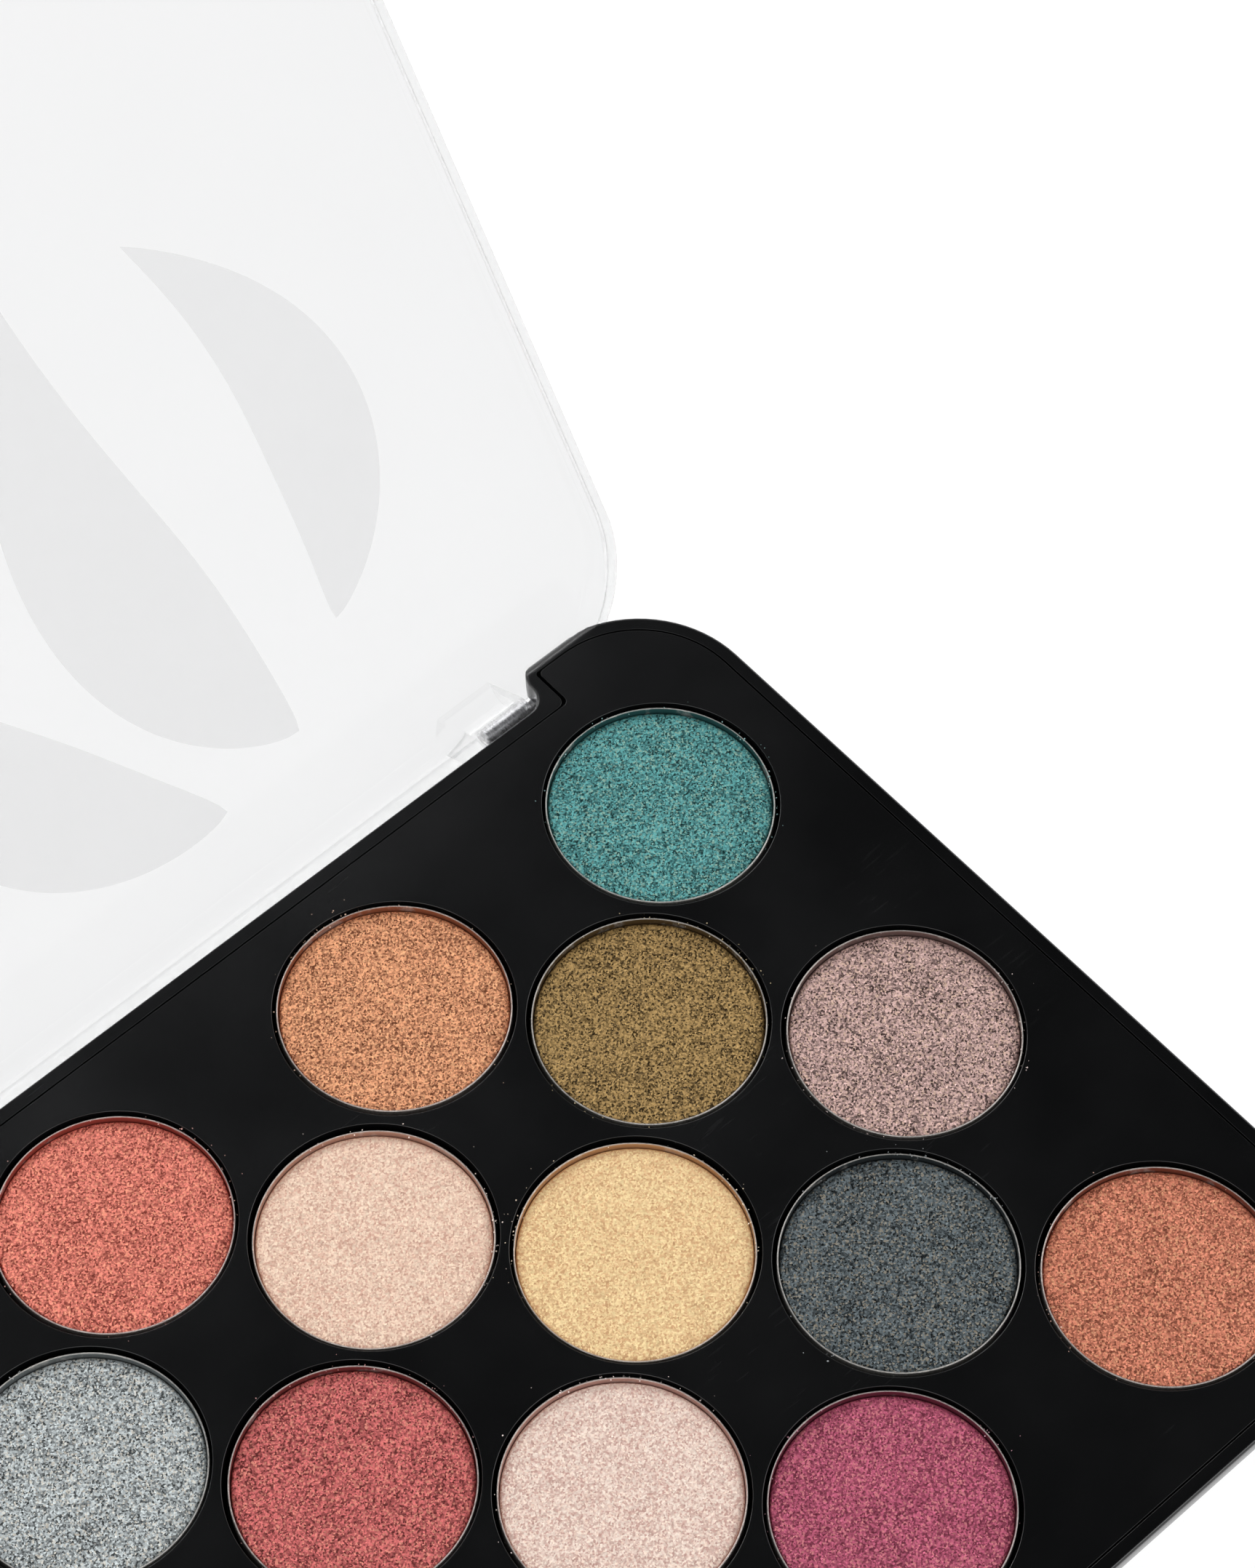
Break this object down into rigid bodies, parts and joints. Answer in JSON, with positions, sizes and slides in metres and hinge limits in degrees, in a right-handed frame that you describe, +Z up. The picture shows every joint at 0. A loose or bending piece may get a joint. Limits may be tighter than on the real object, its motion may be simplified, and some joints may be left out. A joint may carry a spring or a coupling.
{
  "type": "eyeshadow palette",
  "caption": "Flat cosmetic palette: black base with a drop-in tray, staggered round tins of pressed powder and a clear hinged lid.",
  "frame": {"origin": "middle of the flat underside of the base", "axes": "+X along the hinge to the user's right, +Y to the rear where the hinge is, +Z up out of the tray"},
  "size_m": [0.1586, 0.1905, 0.1075],
  "materials": {
    "base": "satin black",
    "tray": "fine satin black",
    "pan": "drawn, bright rim",
    "pin": "ground",
    "clear": "clear, polished",
    "powder_champagne": "pressed shimmer powder",
    "powder_coral": "pressed shimmer powder",
    "powder_copper": "pressed shimmer powder",
    "powder_teal": "pressed shimmer powder",
    "powder_silver": "pressed shimmer powder",
    "powder_pink_beige": "pressed shimmer powder",
    "powder_olive": "pressed shimmer powder",
    "powder_navy": "pressed shimmer powder",
    "powder_dark_red": "pressed shimmer powder",
    "powder_peach_gold": "pressed shimmer powder",
    "powder_mauve": "pressed shimmer powder",
    "powder_plum": "pressed shimmer powder",
    "powder_light_pink": "pressed shimmer powder",
    "powder_charcoal": "pressed shimmer powder",
    "powder_bronze": "pressed shimmer powder",
    "powder_gold": "pressed shimmer powder",
    "powder_magenta": "pressed shimmer powder",
    "powder_orange_brown": "pressed shimmer powder"
  },
  "bodies": {
    "base": {"base_shell": "base", "tray_insert": "tray", "hinge_pin_left": "pin", "hinge_pin_right": "pin", "pan_champagne": "pan", "powder_champagne": "powder_champagne", "pan_coral": "pan", "powder_coral": "powder_coral", "pan_copper": "pan", "powder_copper": "powder_copper", "pan_teal": "pan", "powder_teal": "powder_teal", "pan_silver": "pan", "powder_silver": "powder_silver", "pan_pink_beige": "pan", "powder_pink_beige": "powder_pink_beige", "pan_olive": "pan", "powder_olive": "powder_olive", "pan_navy": "pan", "powder_navy": "powder_navy", "pan_dark_red": "pan", "powder_dark_red": "powder_dark_red", "pan_peach_gold": "pan", "powder_peach_gold": "powder_peach_gold", "pan_mauve": "pan", "powder_mauve": "powder_mauve", "pan_plum": "pan", "powder_plum": "powder_plum", "pan_light_pink": "pan", "powder_light_pink": "powder_light_pink", "pan_charcoal": "pan", "powder_charcoal": "powder_charcoal", "pan_bronze": "pan", "powder_bronze": "powder_bronze", "pan_gold": "pan", "powder_gold": "powder_gold", "pan_magenta": "pan", "powder_magenta": "powder_magenta", "pan_orange_brown": "pan", "powder_orange_brown": "powder_orange_brown"},
    "lid": {"lid": "clear"}
  },
  "joints": [
    {"name": "lid_hinge", "type": "hinge", "parent": "base", "child": "lid", "pos_m": [0, 0.05885, 0.00595], "axis": [1, 0, 0], "range_deg": [0, 122.3]}
  ]
}
